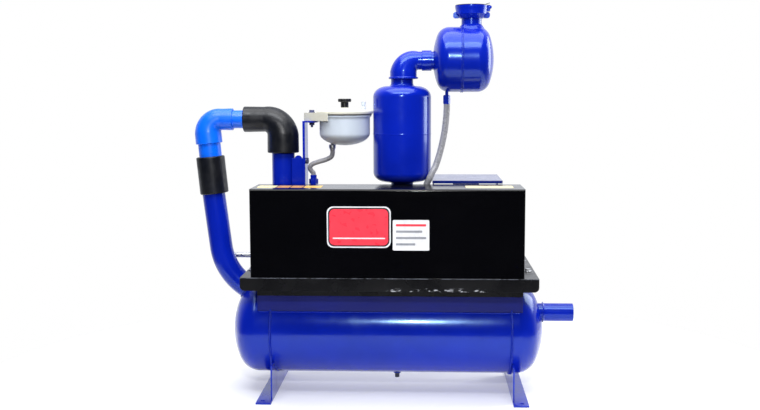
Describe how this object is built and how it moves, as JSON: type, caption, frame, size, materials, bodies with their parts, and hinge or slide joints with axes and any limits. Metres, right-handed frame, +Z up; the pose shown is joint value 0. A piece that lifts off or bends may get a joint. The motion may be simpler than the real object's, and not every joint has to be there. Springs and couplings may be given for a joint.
{
  "type": "milking machine vacuum unit",
  "caption": "Vacuum pump unit of a milking machine: belt driven vane pump and motor on a tray over a horizontal reserve tank, with oil cup, silencer and oil separator.",
  "frame": {"origin": "on the floor at the centre of the rectangle of four foot bolt holes", "axes": "+Z up, +X along the tank towards the vacuum outlet pipe, +Y from the belt guard towards the motor fan"},
  "size_m": [1.2683, 0.5, 1.2946],
  "materials": {
    "blue_paint": "high gloss royal blue enamel",
    "black_paint": "semi gloss black enamel",
    "black_gloss": "high gloss black enamel on sheet steel",
    "steel": "zinc plated or ground steel",
    "iron": "machined and painted cast iron",
    "carbon": "carbon fibre reinforced vane material",
    "black_plastic": "moulded black plastic",
    "copper": "laminations and lacquered copper winding",
    "rubber": "moulded black rubber",
    "blue_pvc": "satin light blue PVC",
    "white_plastic": "off-white moulded plastic",
    "clear_plastic": "translucent moulded plastic",
    "clear_hose": "translucent flexible hose"
  },
  "bodies": {
    "unit": {"tank_shell": "blue_paint", "tank_end_left": "blue_paint", "tank_end_right": "blue_paint", "outlet_pipe": "blue_paint", "foot_left": "blue_paint", "foot_right": "blue_paint", "saddle_frame": "blue_paint", "tray_rails": "black_paint", "base_tray": "black_paint", "tray_bolts": "steel", "belt_guard": "black_gloss", "pump_body": "iron", "pump_front_cover": "iron", "pump_rear_cover": "iron", "ball_bearings": "steel", "motor_frame": "blue_paint", "motor_front_shield": "blue_paint", "motor_rear_shield": "blue_paint", "motor_stator": "copper", "fan_cover": "black_paint", "terminal_box": "blue_paint", "v_belts": "rubber", "motor_rails": "black_paint", "motor_canopy": "blue_paint", "suction_port": "blue_paint", "exhaust_port": "blue_paint", "suction_bend": "blue_paint", "rubber_sleeve": "rubber", "pvc_stub_lower": "blue_pvc", "pvc_elbow": "blue_pvc", "pvc_stub_upper": "blue_pvc", "rubber_elbow": "rubber", "bracket_plate": "blue_paint", "cup_bracket": "blue_paint", "bracket_bolts": "blue_paint", "cup_head": "white_plastic", "lid_vent": "clear_plastic", "cup_gasket": "rubber", "oil_bowl": "clear_plastic", "bowl_outlet": "steel", "oil_hose": "clear_hose", "oil_inlet_fitting": "blue_paint", "silencer_vessel": "blue_paint", "exhaust_elbow": "blue_paint", "separator_coupling": "blue_paint", "separator_drum": "blue_paint", "outlet_collar": "blue_paint", "drain_fitting": "blue_paint", "drain_hose": "clear_hose", "return_fitting": "blue_paint", "stay_rod": "steel"},
    "pump_drive": {"pump_rotor": "steel", "rotor_vanes": "carbon", "pump_pulley": "iron"},
    "motor_drive": {"motor_rotor": "steel", "motor_fan": "black_plastic", "motor_pulley": "iron"},
    "knob": {"cup_knob": "black_plastic"},
    "flap": {"rain_flap": "black_paint"},
    "plug": {"drain_plug": "steel"}
  },
  "joints": [
    {"name": "pump_spin", "type": "hinge", "parent": "unit", "child": "pump_drive", "pos_m": [-0.17, 0, 0.552], "axis": [0, 1, 0], "continuous": true},
    {"name": "motor_spin", "type": "hinge", "parent": "unit", "child": "motor_drive", "pos_m": [0.245, 0, 0.552], "axis": [0, 1, 0], "continuous": true},
    {"name": "knob_turn", "type": "hinge", "parent": "unit", "child": "knob", "pos_m": [-0.162, 0, 0.97], "axis": [0, 0, 1], "range_deg": [-180, 180]},
    {"name": "flap_lift", "type": "hinge", "parent": "unit", "child": "flap", "pos_m": [0.317, 0, 1.28], "axis": [0, 1, 0], "range_deg": [0, 80]},
    {"name": "plug_turn", "type": "hinge", "parent": "unit", "child": "plug", "pos_m": [0.012, 0, 0.06], "axis": [0, 0, 1], "range_deg": [-180, 180]}
  ],
  "couplings": [
    {"joint": "motor_spin", "follows": "pump_spin", "ratio": 1.6}
  ]
}
